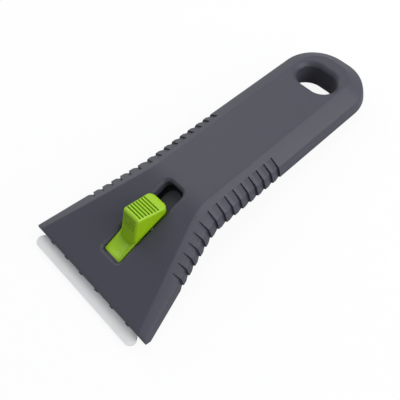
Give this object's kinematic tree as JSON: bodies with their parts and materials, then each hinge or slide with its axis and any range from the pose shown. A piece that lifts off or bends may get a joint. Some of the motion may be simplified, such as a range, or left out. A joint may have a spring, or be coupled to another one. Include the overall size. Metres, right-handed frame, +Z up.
{
  "type": "hob scraper",
  "caption": "Hand-held hob scraper: two dark grey shells, a white ceramic blade that slides in behind the lip, a green thumb slider and a hang slot.",
  "frame": {"origin": "middle of the heel land, the flat under the fan just behind the lip, at the height of the surface that the scraper lies on", "axes": "+X across the blade, +Y from the blade to the tail of the handle, +Z up from the surface that it lies on"},
  "size_m": [0.0694, 0.1625, 0.0255],
  "materials": {
    "shell": "fine spark-eroded matte",
    "slider": "satin moulded",
    "carrier": "satin moulded",
    "blade": "ground white ceramic",
    "steel": "plain"
  },
  "bodies": {
    "handle": {"upper_shell": "shell", "lower_shell": "shell", "shell_screws": "steel"},
    "carriage": {"thumb_slider": "slider", "blade_carrier": "carrier", "ceramic_blade": "blade", "blade_clamp": "steel", "clamp_screws": "steel", "slider_screws": "steel", "detent_spring": "steel"}
  },
  "joints": [
    {"name": "blade_slide", "type": "slide", "parent": "handle", "child": "carriage", "axis": [0, 0.9785, 0.2062], "range_m": [0, 0.0085], "deforming": ["detent_spring"]}
  ]
}
